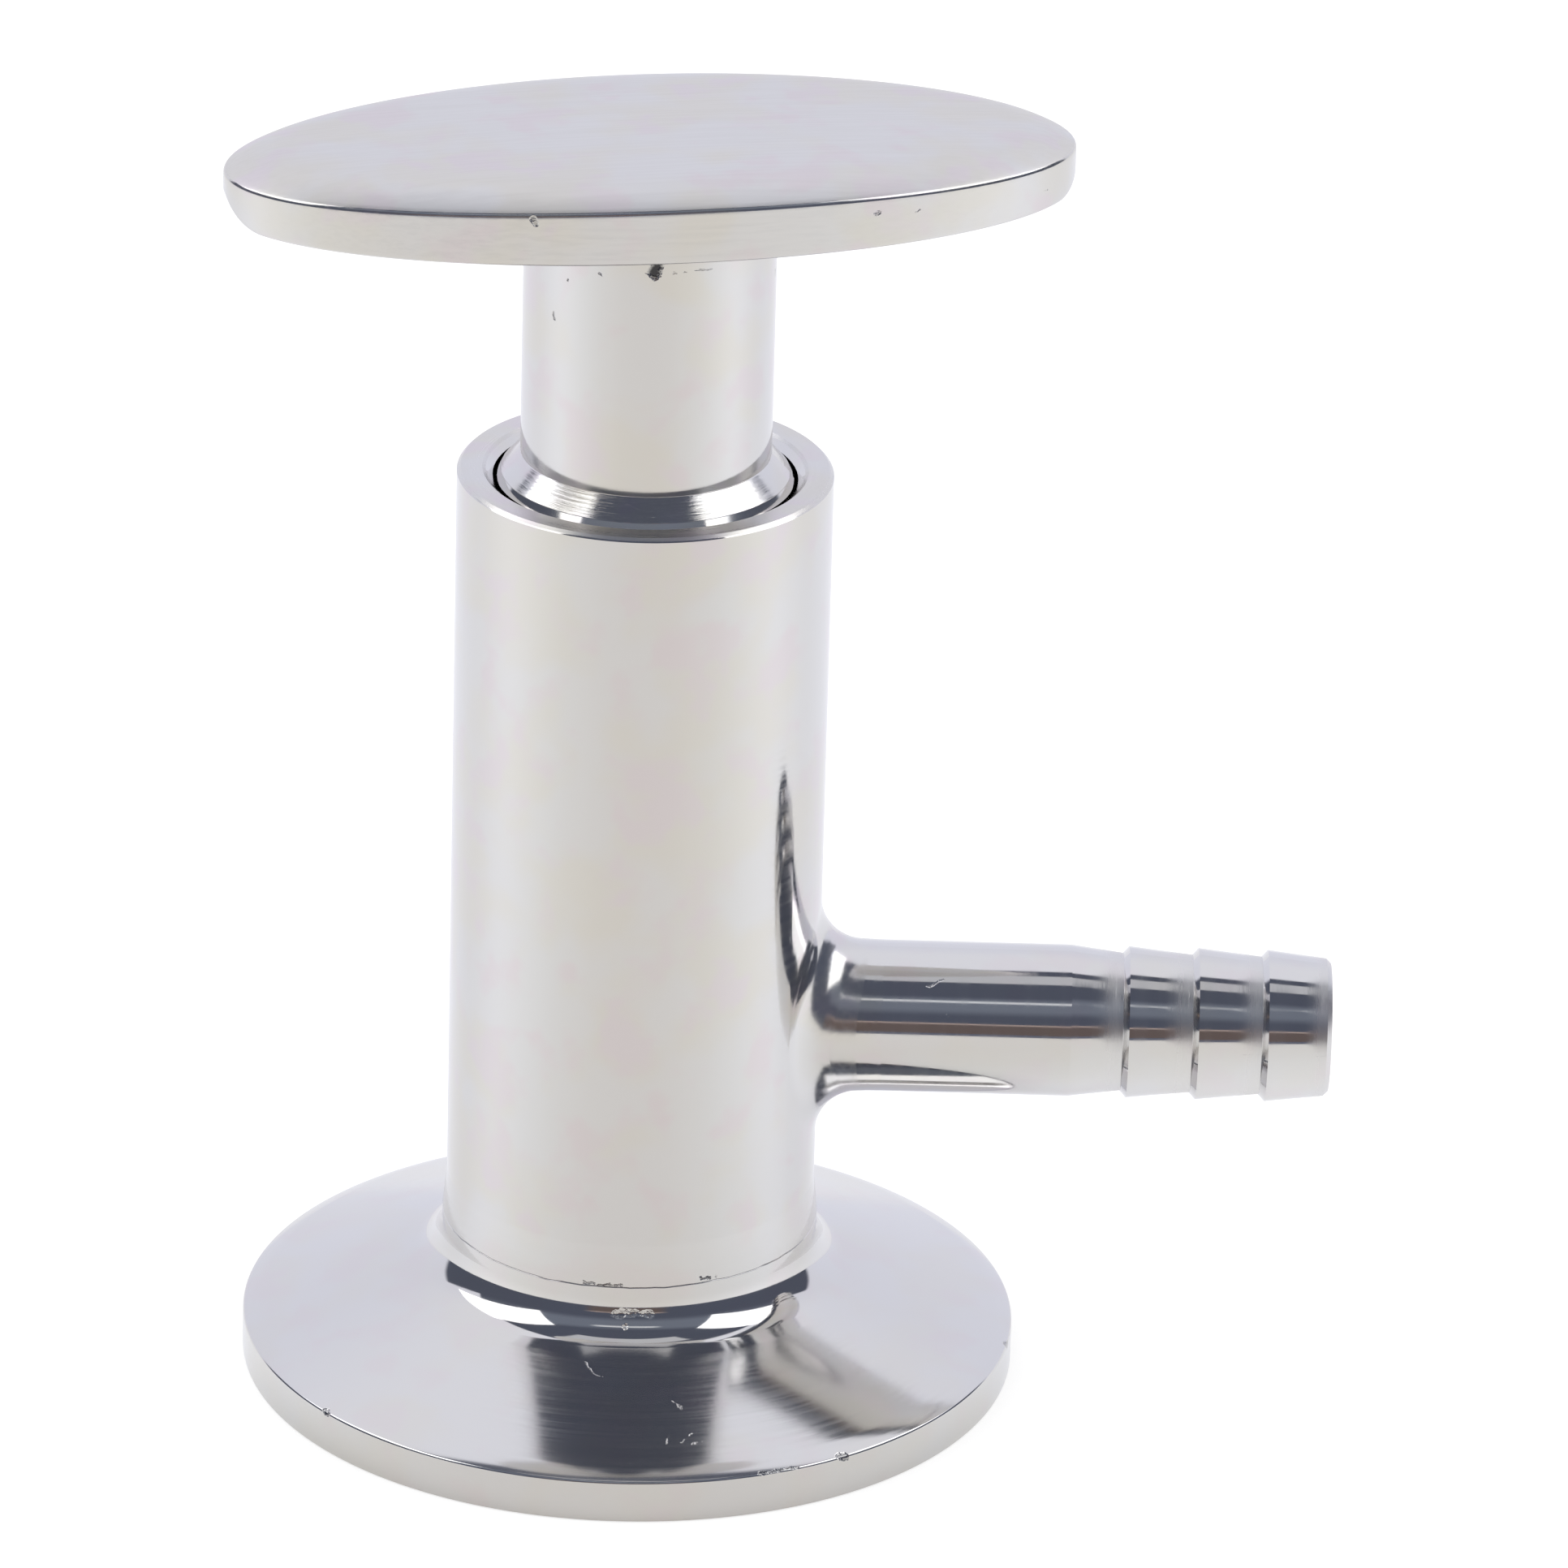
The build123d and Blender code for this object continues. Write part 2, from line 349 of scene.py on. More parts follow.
    def relief(self, nodes: Nodes, place: Socket, lay: Socket, masks: list[Socket]) -> Socket:
        """Return the surface relief in metres: lines, soft waves and small pits.

        Args:
            nodes: the tree being built.
            place: the point in millimetres.
            lay: the point that follows the lines.
            masks: the zones' masks.

        Returns:
            The relief's height.
        """
        depth = self.line_height
        for zone, mask in zip(self.zones, masks):
            depth = nodes.maths("MULTIPLY_ADD", mask, zone.line_height - self.line_height, depth)
        lines = nodes.maths("MULTIPLY", nodes.noise(lay, self.line_scale, 4.0, 0.7), depth)
        waves = nodes.maths("MULTIPLY_ADD", nodes.noise(place, self.wave_scale, 1.0), self.wave_height, lines)
        cells = nodes.add("TexVoronoi", {"feature": "F1"}, Vector=place, Scale=self.pit_scale)
        pit = nodes.remap(cells.outputs["Distance"], 0.0, self.pit_radius, 1.0, 0.0)
        lot = nodes.add("SeparateXYZ", None, Vector=cells.outputs["Color"]).outputs[0]
        chosen = nodes.remap(lot, *self.pit_choice)
        return nodes.maths("MULTIPLY_ADD", nodes.maths("MULTIPLY", pit, chosen), -self.pit_depth, waves)

    def cloudy_tint(self, nodes: Nodes, place: Socket) -> Socket:
        """Tint the steel, with soft warm and rosy clouds.

        Args:
            nodes: the tree being built.
            place: the point in millimetres.

        Returns:
            The colour.
        """
        colour: Any = self.tint
        clouds = (
            (self.warm_scale, self.warm_range, self.warm_shift),
            (self.rosy_scale, self.rosy_range, self.rosy_shift),
        )
        for scale, limits, shift in clouds:
            shifted = tuple(share * channel for share, channel in zip(shift, self.tint))
            cloud = nodes.remap(nodes.noise(place, scale), *limits, 0.0, self.blotch)
            colour = nodes.mix(cloud, colour, shifted)
        return colour

    def streaky_gloss(self, nodes: Nodes, lay: Socket, masks: list[Socket]) -> Socket:
        """Make the roughness, streaked along the lines and set apart in the zones.

        Args:
            nodes: the tree being built.
            lay: the point that follows the lines.
            masks: the zones' masks.

        Returns:
            The roughness.
        """
        streaks = nodes.noise(lay, self.line_scale * self.streak_share, 3.0, 0.6)
        low, high = self.roughness - self.streak, self.roughness + self.streak
        gloss = nodes.remap(streaks, *self.streak_range, low, high)
        for zone, mask in zip(self.zones, masks):
            gloss = nodes.maths("MULTIPLY_ADD", mask, zone.roughness - self.roughness, gloss)
        return gloss

    def blemished(self, nodes: Nodes, place: Socket, colour: Socket, height: Socket) -> tuple[Socket, Socket]:
        """Cut and stain the marks.

        Args:
            nodes: the tree being built.
            place: the point in millimetres.
            colour: the colour without marks.
            height: the relief without marks.

        Returns:
            The colour and the relief with the marks.
        """
        swing, back = (2 * self.shake,) * 3, (-self.shake,) * 3
        shake = nodes.add("TexNoise", None, Vector=place, Scale=self.shake_scale, Detail=3.0).outputs["Color"]
        shake = nodes.add("VectorMath", {"operation": "MULTIPLY_ADD"}, i0=shake, i1=swing, i2=back).outputs[0]
        shaken = nodes.add("VectorMath", {"operation": "ADD"}, i0=place, i1=shake).outputs[0]
        for mark in self.blemishes:
            near = self.closeness(nodes, shaken, mark)
            height = nodes.maths("MULTIPLY_ADD", near, -mark.depth, height)
            if mark.stain:
                colour = nodes.mix(nodes.maths("MULTIPLY", near, mark.stain), colour, self.grime)
        return colour, height

    def material(self) -> bpy.types.Material:
        """Build the node material.

        Returns:
            The new material.
        """
        steel = bpy.data.materials.new(self.name)
        steel.use_nodes = True
        nodes = Nodes(steel.node_tree)
        place = self.millimetres(nodes)
        lay = self.lay_vector(nodes, place)
        masks = self.zone_masks(nodes, lay)
        colour = self.cloudy_tint(nodes, place)
        gloss = self.streaky_gloss(nodes, lay, masks)
        height = self.relief(nodes, place, lay, masks)
        if self.blemishes:
            colour, height = self.blemished(nodes, place, colour, height)
        bump = nodes.add("Bump", None, Strength=1.0, Distance=1.0, Height=height)
        shader = nodes.add("BsdfPrincipled", None, Base_Color=colour, Metallic=1.0, Roughness=gloss,
                           Normal=bump.outputs[0])
        nodes.add("OutputMaterial", None, Surface=shader.outputs[0])
        return steel


@dataclass(frozen=True)
class RubberFinish:
    """Black moulded rubber with a faint bloom. Scales are for each metre, and heights are in metres."""

    name: str = "seal_rubber"
    colour: Colour = (0.018, 0.018, 0.02)
    bloom: Colour = (0.05, 0.05, 0.052)
    bloom_scale: float = 600.0
    bloom_range: tuple[float, float] = (0.45, 0.75)
    roughness: tuple[float, float] = (0.47, 0.65)
    gloss_scale: float = 2400.0
    gloss_range: tuple[float, float] = (0.3, 0.7)
    grain_scale: float = 5000.0
    grain_height: float = 4e-6

    def material(self) -> bpy.types.Material:
        """Build the node material.

        Returns:
            The new material.
        """
        rubber = bpy.data.materials.new(self.name)
        rubber.use_nodes = True
        nodes = Nodes(rubber.node_tree)
        place = nodes.add("TexCoord").outputs["Object"]
        bloom = nodes.remap(nodes.noise(place, self.bloom_scale, 4.0), *self.bloom_range)
        colour = nodes.mix(bloom, self.colour, self.bloom)
        gloss = nodes.remap(nodes.noise(place, self.gloss_scale), *self.gloss_range, *self.roughness)
        height = nodes.maths("MULTIPLY", nodes.noise(place, self.grain_scale), self.grain_height)
        bump = nodes.add("Bump", None, Strength=1.0, Distance=1.0, Height=height)
        shader = nodes.add("BsdfPrincipled", None, Base_Color=colour, Roughness=gloss, Normal=bump.outputs[0])
        nodes.add("OutputMaterial", None, Surface=shader.outputs[0])
        return rubber


MIRROR_FLANGE = SteelFinish(
    "mirror_flange",
    Lay.ROUND_STEM,
    roughness=0.06,
    streak=0.02,
    line_height=3e-7,
    wave_height=2e-5,
    wave_scale=0.13,
    zones=(Zone(Reach.RADIUS, low=15.4, high=30.0, roughness=0.12, line_height=1e-6, fade=0.8),),
    blemishes=(
        Mark((3.98, -21.72, 3.95), (4.6, -20.9, 4.2), 0.09),
        Mark((5.27, -21.56, 3.9), (4.4, -21.9, 3.9), 0.09),
        Mark((3.18, -21.13, 4.2), (3.0, -21.9, 3.95), 0.08),
        Mark((3.3, -18.3, 5.2), (3.9, -18.9, 5.0), 0.08),
        Mark((5.6, -19.6, 4.75), (5.0, -19.3, 4.9), 0.09),
        Mark((0.4, -22.9, 3.6), (0.9, -24.1, 3.2), 0.09),
        Mark((-2.5, -15.3, 6.26), (-1.9, -16.2, 5.96), 0.09),
        Mark((-1.9, -16.2, 5.96), (-1.3, -16.5, 5.86), 0.08),
        Mark((24.97, -3.75, 2.6), (24.9, -4.2, 2.8), 0.3, 6e-5, 0.3),
        Mark((14.1, -20.8, 2.85), (14.5, -20.6, 2.75), 0.3, 6e-5, 0.5),
        Mark((-19.1, -16.4, 2.9), (-18.9, -16.7, 2.8), 0.25, 6e-5, 0.5),
        Mark((9.0, -23.5, 2.85), (11.4, -22.4, 2.85), 0.12, 4e-5, 0.4),
        Mark((-0.6, -12.6, 8.5), (1.9, -12.6, 8.5), 0.35, 6e-5, 0.15),
        Mark((0.0, -12.9, 7.75), (0.1, -12.9, 7.7), 0.22, 6e-5),
    ),
)
SATIN_BARREL = SteelFinish(
    "satin_barrel",
    Lay.ROUND_STEM,
    roughness=0.09,
    streak=0.03,
    line_height=3e-7,
    blotch=1.0,
    zones=(
        Zone(Reach.AXIAL, low=62.1, high=63.0, roughness=0.3, line_height=2e-6, fade=0.05),
        Zone(Reach.RADIUS, low=12.4, high=15.2, roughness=0.17, line_height=1.2e-6, fade=0.3),
    ),
    blemishes=(
        Mark((4.93, -11.11, 10.7), (5.6, -10.7, 10.6), 0.16, 3e-5, 0.6),
        Mark((-2.63, -11.8, 10.35), (-0.4, -12.1, 10.3), 0.1, 3e-5, 0.3),
    ),
)
WELD_BEAD = SteelFinish(
    "ground_weld",
    Lay.ROUND_STEM,
    roughness=0.12,
    streak=0.04,
    line_height=1.2e-6,
    wave_height=8e-6,
    wave_scale=0.5,
    blemishes=(
        Mark((4.93, -11.11, 10.5), (5.8, -10.6, 10.45), 0.16, 3e-5, 0.6),
        Mark((-2.63, -11.96, 10.35), (-0.2, -12.25, 10.3), 0.12, 3e-5, 0.35),
    ),
)
SATIN_STEM = SteelFinish(
    "satin_stem",
    Lay.ROUND_STEM,
    roughness=0.09,
    streak=0.03,
    line_height=6e-7,
    line_scale=4.0,
    blotch=1.0,
    zones=(Zone(Reach.AXIAL, low=62.2, high=63.45, roughness=0.1, line_height=1.5e-5, fade=0.03),),
    blemishes=(
        Mark((0.55, -7.98, 79.3), (0.39, -7.99, 78.5), 0.5, 1.2e-4, 0.95),
        Mark((-0.9, -7.9, 79.85), (2.6, -7.55, 79.85), 0.28, 1e-4, 0.95),
        Mark((-3.0, -7.4, 79.6), (-2.5, -7.6, 79.45), 0.2, 8e-5, 0.8),
        Mark((-3.1, -7.4, 78.2), (-2.6, -7.5, 77.9), 0.12, 5e-5, 0.4),
        Mark((-5.0, -6.24, 77.25), (-5.0, -6.24, 77.2), 0.14, 4e-5, 0.7),
        Mark((-5.9, -5.4, 74.7), (-5.8, -5.5, 74.3), 0.16, 4e-5, 0.5),
        Mark((7.6, -2.4, 79.4), (7.75, -1.9, 78.6), 0.2, 8e-5, 0.6),
        Mark((7.89, -1.3, 76.4), (7.9, -1.2, 76.0), 0.12, 5e-5, 0.4),
        Mark((1.6, -7.8, 78.5), (3.9, -7.0, 78.6), 0.1, 3e-5, 0.2),
    ),
)
MIRROR_SPOUT = SteelFinish(
    "mirror_spout",
    Lay.ROUND_SPOUT,
    roughness=0.08,
    streak=0.03,
    line_height=5e-7,
    line_scale=3.0,
    wave_height=6e-6,
    zones=tuple(
        Zone(Reach.AXIAL, low=end - BARB_LAND, high=end, roughness=0.32, line_height=2.5e-5, fade=1.7)
        for end in (BARB_PLACE + BARB_PITCH * cut for cut in range(BARB_CUTS))
    ),
    blemishes=(
        Mark((19.0, -3.3, 28.05), (20.0, -2.9, 28.35), 0.12, 3e-5),
        Mark((20.2, -4.4, 26.5), (20.7, -4.5, 26.2), 0.07, 2e-5),
    ),
)
SATIN_HANDLE = SteelFinish(
    "satin_handle",
    Lay.ALONG_HANDLE,
    roughness=0.4,
    streak=0.05,
    line_height=4e-7,
    wave_height=8e-6,
    wave_scale=0.12,
    blotch=1.0,
    blemishes=(
        Mark((-25.14, -7.38, 83.4), (-24.6, -7.7, 83.4), 0.22, 8e-5, 0.2),
        Mark((-21.93, -9.9, 83.55), (-21.5, -10.0, 83.55), 0.22, 8e-5, 0.2),
        Mark((-7.01, -13.1, 83.9), (-6.9, -13.1, 83.5), 0.22, 8e-5, 0.35),
        Mark((14.09, -8.4, 83.0), (14.3, -8.3, 83.05), 0.15, 6e-5, 0.35),
        Mark((16.61, -7.2, 82.8), (16.8, -7.1, 82.9), 0.17, 6e-5, 0.4),
        Mark((24.8, -0.8, 82.1), (24.9, -0.7, 82.0), 0.15, 6e-5, 0.4),
    ),
)
HANDLE_EDGE = replace(SATIN_HANDLE, name="handle_edge", roughness=0.16, wave_height=2e-5)


def dress(node: str, finish: bpy.types.Material) -> None:
    """Give a CAD node one material in all its slots.

    Args:
        node: the node's name.
        finish: the material.
    """
    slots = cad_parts[node].data.materials
    slots.clear()
    slots.append(finish)
    LOG.info("dressed %s in %s", node, finish.name)


def as_object(name: str, mesh: bmesh.types.BMesh, finish: bpy.types.Material) -> bpy.types.Object:
    """Turn a bmesh into a scene object with one material.

    Args:
        name: the piece's name.
        mesh: the bmesh, which is freed.
        finish: the material.

    Returns:
        The object, at the origin.
    """
    for face in mesh.faces:
        face.smooth = True
    for edge in mesh.edges:
        edge.smooth = edge.calc_face_angle(0.0) < SHARP_ANGLE
    data = bpy.data.meshes.new(name)
    mesh.to_mesh(data)
    mesh.free()
    data.materials.append(finish)
    piece = bpy.data.objects.new(name, data)
    bpy.context.scene.collection.objects.link(piece)
    LOG.info("made %s with %d faces", name, len(data.polygons))
    return piece


def finished(name: str, mesh: bmesh.types.BMesh, finish: bpy.types.Material, body: str) -> bpy.types.Object:
    """Scale a mesh drawn in millimetres to metres and make it a piece of the valve.

    Args:
        name: the piece's name.
        mesh: the bmesh, which is freed.
        finish: the material.
        body: the CAD body that carries the piece.

    Returns:
        The new piece.
    """
    bmesh.ops.remove_doubles(mesh, verts=mesh.verts, dist=SAME_POINT)
    bmesh.ops.recalc_face_normals(mesh, faces=mesh.faces)
    bmesh.ops.scale(mesh, vec=(MILLIMETRE,) * 3, verts=mesh.verts)
    piece = as_object(name, mesh, finish)
    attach(piece, body)
    return piece


@dataclass(frozen=True)
class Hollow:
    """A round groove in an outline: the corner it starts from, its centre in millimetres and its turn."""

    after: int
    radius: float
    level: float
    turn: float
    segments: int = 16


@dataclass
class TurnedPiece:
    """A piece turned about the stem's axis from a closed outline of (radius, level, rounding).

    Its corners near the weld's toe wander with the toe line. Sizes are in millimetres.
    """

    name: str
    replaced: str
    slot: str
    outline: tuple[Point, ...]
    hollow: Optional[Hollow] = None
    steps: int = 240
    round_segments: int = 8
    toe_level: float = 10.2
    toe_band: float = 0.2
    toe_radius: float = 12.1
    toe_waves: float = 4.0
    toe_swell: float = 0.09
    toe_ripple: float = 0.05

    def draw(self, mesh: bmesh.types.BMesh) -> None:
        """Draw the outline in a bmesh, with its hollow, and round its corners.

        Args:
            mesh: the bmesh to draw in.
        """
        corners = [mesh.verts.new((radius, 0.0, level)) for radius, level, _ in self.outline]
        for index, corner in enumerate(corners):
            follower = corners[(index + 1) % len(corners)]
            groove = self.hollow
            if groove and groove.after == index:
                swept = bmesh.ops.spin(
                    mesh, geom=[corner], axis=(0, 1, 0), cent=(groove.radius, 0.0, groove.level),
                    dvec=(0, 0, 0), angle=groove.turn, steps=groove.segments, use_duplicate=False)
                corner = [item for item in swept["geom_last"] if isinstance(item, bmesh.types.BMVert)][0]
            mesh.edges.new((corner, follower))
        for corner, (_, _, rounding) in zip(corners, self.outline):
            if rounding:
                bmesh.ops.bevel(
                    mesh, geom=[corner], affect="VERTICES", offset=rounding, segments=self.round_segments,
                    profile=0.5, material=-1)

    def wave(self, mesh: bmesh.types.BMesh) -> None:
        """Let the toe line wander up and down.

        Args:
            mesh: the turned bmesh.
        """
        for vert in mesh.verts:
            if abs(vert.co.z - self.toe_level) < self.toe_band and vert.co.xy.length > self.toe_radius:
                way = Vector((vert.co.x, vert.co.y, 0.0)).normalized() * self.toe_waves
                ripple = self.toe_ripple * noise.noise(way * self.toe_waves)
                vert.co.z += self.toe_swell * noise.noise(way) + ripple

    def build(self, finish: bpy.types.Material) -> bpy.types.Object:
        """Spin the outline into the piece.

        Args:
            finish: its material.

        Returns:
            The new piece, which stands for its CAD node.
        """
        mesh = bmesh.new()
        self.draw(mesh)
        bmesh.ops.spin(mesh, geom=[*mesh.verts, *mesh.edges], axis=(0, 0, 1), cent=(0, 0, 0), dvec=(0, 0, 0),
                       angle=math.tau, steps=self.steps, use_merge=True, use_duplicate=False)
        self.wave(mesh)
        piece = finished(self.name, mesh, finish, "valve_body")
        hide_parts(self.replaced)
        return piece


@dataclass
class ThreadRidge:
    """One helical thread ridge, turned about the stem's axis. Sizes are in millimetres."""

    name: str
    body: str
    slot: str
    root_radius: float
    crest_radius: float
    foot: float
    top: float
    pitch: float = 2.0
    root_width: float = 1.75
    crest_width: float = 0.3
    steps_per_turn: int = 72

    def build(self, finish: bpy.types.Material) -> bpy.types.Object:
        """Spin the ridge's section up its helix.

        Args:
            finish: the material of the ridge.

        Returns:
            The new piece, riding on its body.
        """
        mesh = bmesh.new()
        outline = [
            (self.root_radius, -self.root_width / 2),
            (self.crest_radius, -self.crest_width / 2),
            (self.crest_radius, self.crest_width / 2),
            (self.root_radius, self.root_width / 2),
        ]
        foot = self.foot + self.root_width / 2
        rise = self.top - self.foot - self.root_width
        section = mesh.faces.new([mesh.verts.new((radius, 0, foot + level)) for radius, level in outline])
        steps = round(rise / self.pitch * self.steps_per_turn)
        bmesh.ops.spin(
            mesh, geom=[section, *section.edges, *section.verts], axis=(0, 0, 1), cent=(0, 0, 0),
            dvec=(0, 0, rise / steps), angle=rise / self.pitch * math.tau, steps=steps, use_duplicate=False)
        return finished(self.name, mesh, finish, self.body)


def second_finish(piece: bpy.types.Object, finish: bpy.types.Material, steepness: float) -> None:
    """Give the upright faces of a piece a finish of their own.

    Args:
        piece: the piece.
        finish: the material of its upright faces.
        steepness: the most that such a face's normal leans up or down.
    """
    piece.data.materials.append(finish)
    for face in piece.data.polygons:
        if abs(face.normal.z) < steepness:
            face.material_index = 1


@dataclass
class HandlePlate:
    """The oval plate: cushioned on top, flat below, with the undersides of its tips rounded. Millimetres."""

    half_length: float = 27.1
    half_width: float = 12.2
    foot: float = 80.7
    middle: float = 2.0
    edge_height: float = 3.5
    crown: float = 0.8
    tip_round: float = 1.8
    roll_width: float = 4.0
    roll_rise: float = 1.12
    corner_round: float = 0.2
    corner_segments: int = 4
    edge_lean: float = 0.7
    tolerance: float = 1e-3
    segments: int = 240
    wall_above: tuple[float, ...] = (2.8, 3.1, 3.5)
    wall_below: tuple[float, ...] = (0.4, 0.0)
    rings: tuple[float, ...] = (0.4, 0.8, 1.2, 1.7, 2.2, 2.8, 3.4, 4.0)
    under_rings: tuple[float, ...] = (0.4, 0.8, 1.3, 1.8, 2.4)
    shares: tuple[float, ...] = (0.8, 0.6, 0.4, 0.2)

    def grow(self, mesh: bmesh.types.BMesh, cap: bmesh.types.BMFace, rise: float = 0.0,
             scale: tuple[float, float] = (1.0, 1.0)) -> bmesh.types.BMFace:
        """Extrude a cap, then lift and scale it.

        Args:
            mesh: the bmesh.
            cap: the face to extrude.
            rise: how far up it goes.
            scale: its scale along and across the plate.

        Returns:
            The cap in its new place.
        """
        cap = bmesh.ops.extrude_discrete_faces(mesh, faces=[cap])["faces"][0]
        bmesh.ops.scale(mesh, vec=(*scale, 1.0), verts=cap.verts)
        bmesh.ops.translate(mesh, vec=(0.0, 0.0, rise), verts=cap.verts)
        return cap

    def raise_side(self, mesh: bmesh.types.BMesh, cap: bmesh.types.BMFace, walls: tuple[float, ...],
                   rings: tuple[float, ...], roll_rise: float) -> list[bmesh.types.BMEdge]:
        """Draw a wall from the middle of the edge and close it with ringed ovals.

        Args:
            mesh: the bmesh.
            cap: the oval at the middle.
            walls: the levels of the wall's loops.
            rings: how far in each ring lies.
            roll_rise: how far the face is cushioned over those rings.

        Returns:
            The edges of the corner between wall and face.
        """
        level = self.middle
        for wall in walls:
            cap = self.grow(mesh, cap, wall - level)
            level = wall
        corner = list(cap.edges)
        length, width, height = self.half_length, self.half_width, 0.0
        for ring in rings:
            inner_length, inner_width = self.half_length - ring, self.half_width - ring
            raised = roll_rise * (1 - (1 - ring / self.roll_width) ** 2)
            cap = self.grow(mesh, cap, raised - height, (inner_length / length, inner_width / width))
            length, width, height = inner_length, inner_width, raised
        last = 1.0
        for share in self.shares:
            cap = self.grow(mesh, cap, 0.0, (share / last, share / last))
            last = share
        return corner

    def bend(self, mesh: bmesh.types.BMesh) -> None:
        """Drop the ends of the top and round the undersides of the tips.

        Args:
            mesh: the plate's bmesh, with its foot at level 0.
        """
        for vert in mesh.verts:
            along = abs(vert.co.x)
            if vert.co.z > self.middle + self.tolerance:
                vert.co.z -= self.crown * (along / self.half_length) ** 2
            elif vert.co.z < self.middle - self.tolerance:
                past = max(0.0, along - self.half_length + self.tip_round)
                lift = self.tip_round - math.sqrt(max(self.tip_round**2 - past**2, 0.0))
                vert.co.z += lift * (1 - vert.co.z / self.middle)

    def build(self, finish: bpy.types.Material, edge_finish: bpy.types.Material) -> bpy.types.Object:
        """Make the plate and turn it to its place.

        Args:
            finish: the material of its faces.
            edge_finish: the material of its edge.

        Returns:
            The new piece, which stands for the CAD plate.
        """
        mesh = bmesh.new()
        bmesh.ops.create_circle(mesh, cap_ends=True, segments=self.segments, radius=1.0)
        bmesh.ops.scale(mesh, vec=(self.half_length, self.half_width, 1.0), verts=mesh.verts)
        bmesh.ops.translate(mesh, vec=(0.0, 0.0, self.middle), verts=mesh.verts)
        upper = list(mesh.faces)[0]
        copied = bmesh.ops.duplicate(mesh, geom=[upper])["geom"]
        lower = [item for item in copied if isinstance(item, bmesh.types.BMFace)][0]
        corners = self.raise_side(mesh, upper, self.wall_above, self.rings, self.roll_rise)
        corners += self.raise_side(mesh, lower, self.wall_below, self.under_rings, 0.0)
        bmesh.ops.bevel(
            mesh, geom=corners, affect="EDGES", offset=self.corner_round, segments=self.corner_segments,
            profile=0.5, material=-1)
        self.bend(mesh)
        bmesh.ops.translate(mesh, vec=(0.0, 0.0, self.foot), verts=mesh.verts)
        bmesh.ops.rotate(mesh, cent=(0, 0, 0), matrix=Matrix.Rotation(HANDLE_TURN, 3, "Z"), verts=mesh.verts)
        piece = finished("handle_cushion", mesh, finish, "stem_assembly")
        second_finish(piece, edge_finish, self.edge_lean)
        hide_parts("handle_plate")
        return piece


# The flange from the inlet's edge: face, gasket groove, rim, back cone, neck, bore and seat.
FLANGE_OUTLINE = (
    (5.25, 0.0, 0.0),
    (19.61, 0.0, 0.0),
    (25.25, 0.0, 0.2),
    (25.25, 0.5, 0.0),
    (25.25, 2.5, 0.0),
    (25.25, 2.815, 0.14),
    (24.4, 3.248, 0.5),
    (23.6, 3.519, 0.0),
    (15.0, 6.43, 0.0),
    (12.25, 7.361, 1.98),
    (12.25, 10.2, 0.06),
    (7.5, 10.2, 0.0),
    (7.5, 5.75, 0.0),
    (5.25, 3.5, 0.0),
)
GASKET_GROOVE = Hollow(after=1, radius=21.8, level=-0.7, turn=2.5223)

# The weld's ground run-out, a thin ring that tapers into the barrel.
WELD_OUTLINE = ((11.9, 10.2, 0.0), (12.25, 10.2, 0.06), (11.985, 13.2, 0.0), (11.9, 13.2, 0.0))


@dataclass
class ValveBody:
    """The welded body: clamp flange, ground weld, barrel with its thread, and hose spout."""

    flange: TurnedPiece = field(default_factory=lambda: TurnedPiece(
        "polished_flange", replaced="clamp_flange", slot="polished_steel", outline=FLANGE_OUTLINE,
        hollow=GASKET_GROOVE))
    weld: TurnedPiece = field(default_factory=lambda: TurnedPiece(
        "ground_weld_ring", replaced="flange_weld", slot="weld_steel", outline=WELD_OUTLINE))
    thread: ThreadRidge = field(default_factory=lambda: ThreadRidge(
        "barrel_thread", body="valve_body", slot="satin_steel", root_radius=9.74, crest_radius=8.67,
        foot=48.5, top=60.0))

    def build(self) -> None:
        """Make the flange, the weld and the thread, and dress every fixed piece."""
        satin = SATIN_BARREL.material()
        self.flange.build(MIRROR_FLANGE.material())
        self.weld.build(WELD_BEAD.material())
        self.thread.build(satin)
        dress("valve_barrel", satin)
        dress("hose_spout", MIRROR_SPOUT.material())


@dataclass
class StemUnit:
    """The turning stem with its thread, handle and seals."""

    handle: HandlePlate = field(default_factory=HandlePlate)
    thread: ThreadRidge = field(default_factory=lambda: ThreadRidge(
        "stem_thread", body="stem_assembly", slot="satin_steel", root_radius=8.43, crest_radius=9.5,
        foot=49.5, top=60.4))

    def build(self) -> None:
        """Make the handle and the thread, and dress every moving piece."""
        satin = SATIN_STEM.material()
        self.handle.build(SATIN_HANDLE.material(), HANDLE_EDGE.material())
        self.thread.build(satin)
        dress("stem", satin)
        dress("handle_weld", satin)
        rubber = RubberFinish().material()
        for seal in ("lower_o_ring", "upper_o_ring", "seat_plug"):
            dress(seal, rubber)


@dataclass(frozen=True)
class Band:
    """A level strip of the room behind the camera, between two slopes, with its own shade."""

    low: float
    top: float
    shade: Colour


